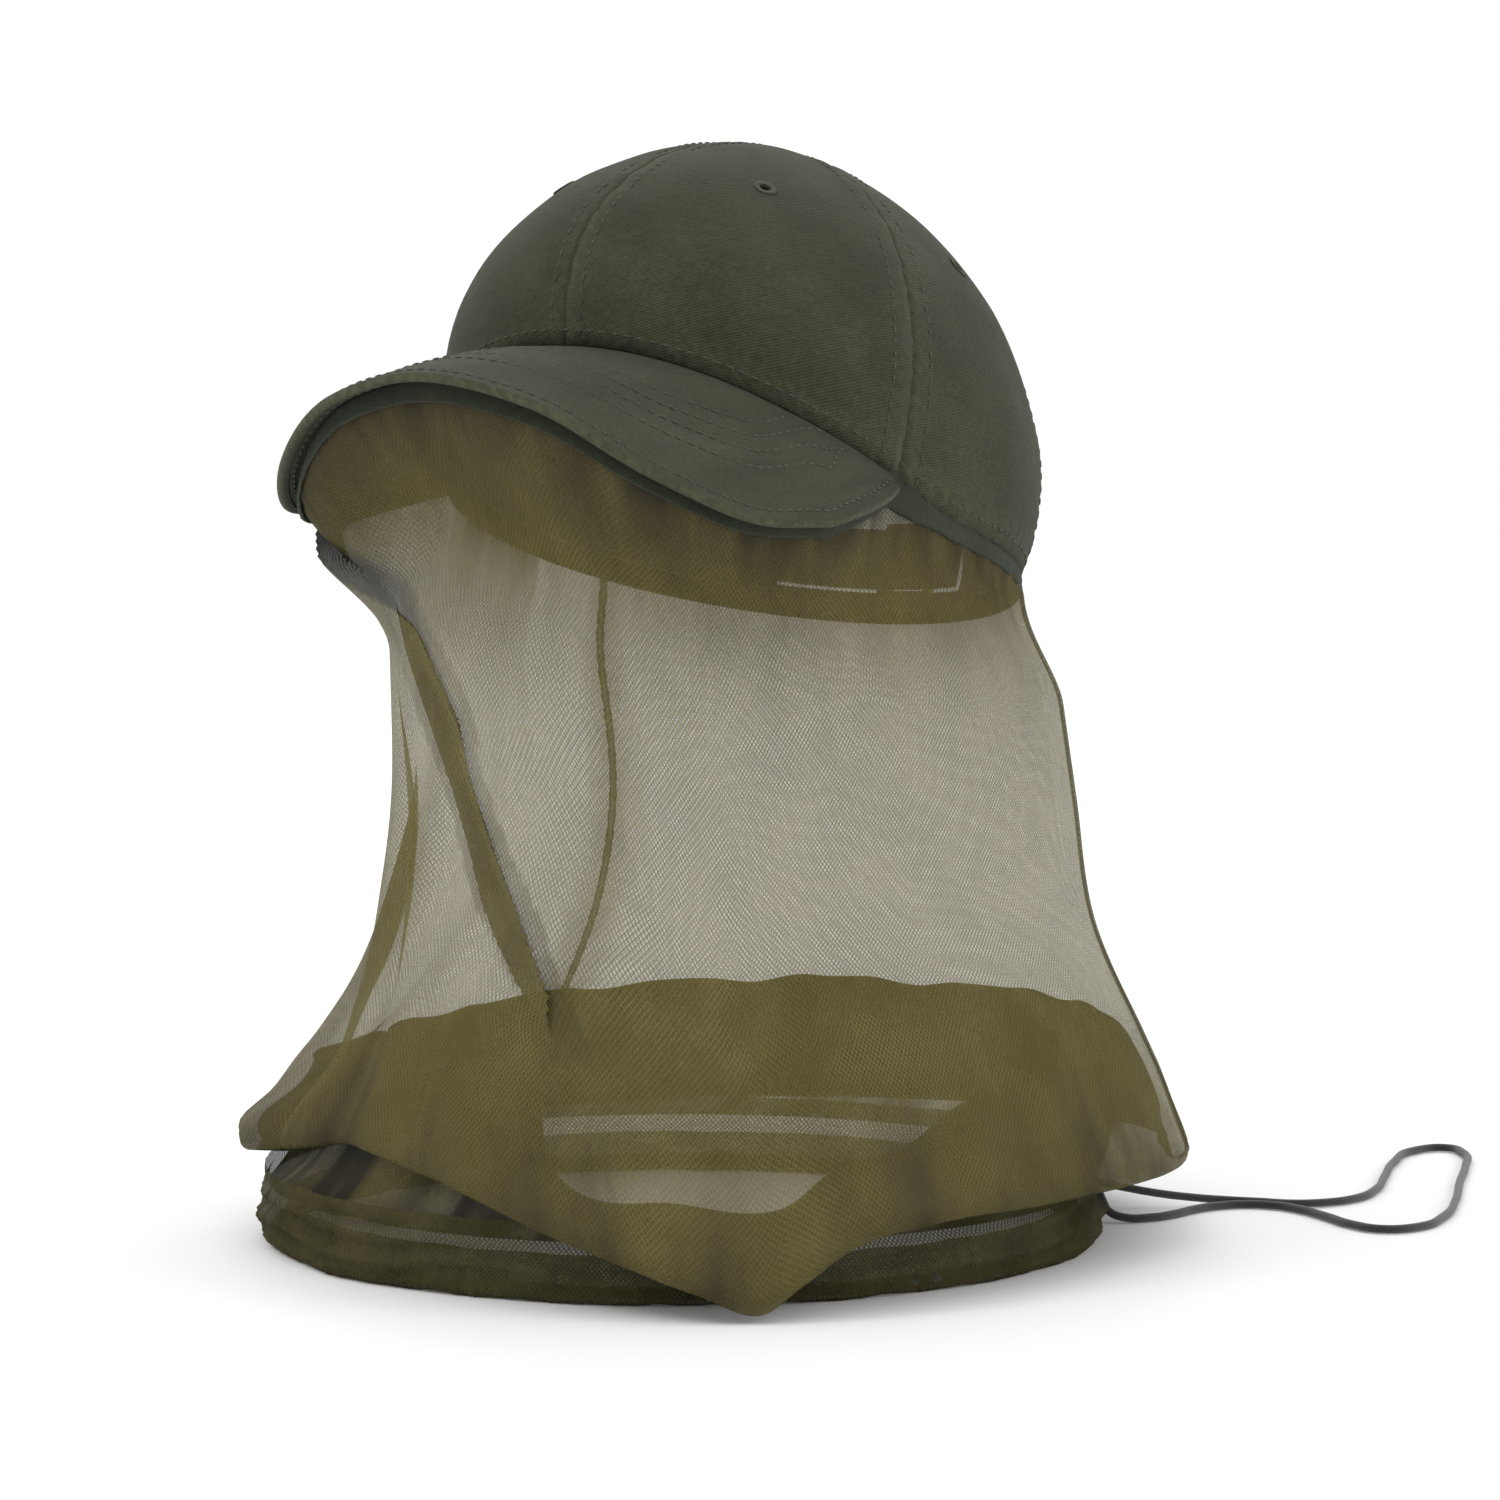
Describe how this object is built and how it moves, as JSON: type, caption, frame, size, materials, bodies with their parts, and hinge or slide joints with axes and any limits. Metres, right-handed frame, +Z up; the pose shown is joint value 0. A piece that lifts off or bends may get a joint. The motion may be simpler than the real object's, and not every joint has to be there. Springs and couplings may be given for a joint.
{
  "type": "beekeeping veil",
  "caption": "Cotton cap with a curved visor and a fine net sewn round visor and rim, hanging to a gathered elastic hem with a draw loop; back strap with lever clasp.",
  "frame": {"origin": "centre of the cap's head opening, in the plane of the rim at its sides and back, where the wearer's head holds it", "axes": "+Z up as worn, -Y the way the wearer faces, +X the wearer's left; the cap leans back 18 degrees about X"},
  "size_m": [0.3195, 0.4245, 0.3254],
  "materials": {
    "twill": "washed cotton twill, matt",
    "lining_tape": "plain cotton tape",
    "sewn_thread": "overlock thread",
    "sweatband_cotton": "brushed cotton",
    "visor_board": "stiff plastic board",
    "strap_twill": "folded twill strap",
    "net": "fine knitted nylon net, see-through",
    "net_dense": "net in several layers",
    "brass": "aged antique brass",
    "elastic": "braided elastic, black"
  },
  "bodies": {
    "veil": {"crown_panel_front_left": "twill", "eyelet_front_left": "sewn_thread", "crown_panel_side_left": "twill", "eyelet_side_left": "sewn_thread", "crown_panel_rear_left": "twill", "eyelet_rear_left": "sewn_thread", "crown_panel_rear_right": "twill", "eyelet_rear_right": "sewn_thread", "crown_panel_side_right": "twill", "eyelet_side_right": "sewn_thread", "crown_panel_front_right": "twill", "eyelet_front_right": "sewn_thread", "seam_tape_front": "lining_tape", "seam_tape_side_left": "lining_tape", "seam_tape_rear_left": "lining_tape", "seam_tape_back": "lining_tape", "seam_tape_rear_right": "lining_tape", "seam_tape_side_right": "lining_tape", "sweatband": "sweatband_cotton", "back_opening_facing": "lining_tape", "opening_net": "net", "top_button": "twill", "button_rivet": "brass", "visor_top_cover": "twill", "visor_board": "visor_board", "visor_bottom_cover": "twill", "clasp_frame": "brass", "clasp_pin": "brass", "adjuster_strap": "strap_twill", "net_joining_tape": "lining_tape", "net_front": "net", "net_back": "net", "net_seam_left": "net_dense", "net_seam_right": "net_dense", "hem_casing": "net_dense", "hem_elastic": "elastic", "cord_exit_patch": "net_dense", "draw_loop": "elastic"},
    "lever": {"clasp_lever": "brass"}
  },
  "joints": [
    {"name": "clasp_lever", "type": "hinge", "parent": "veil", "child": "lever", "pos_m": [0.00457, 0.08173, -0.01236], "axis": [0, 0.309, 0.9511], "range_deg": [0, 100]}
  ]
}
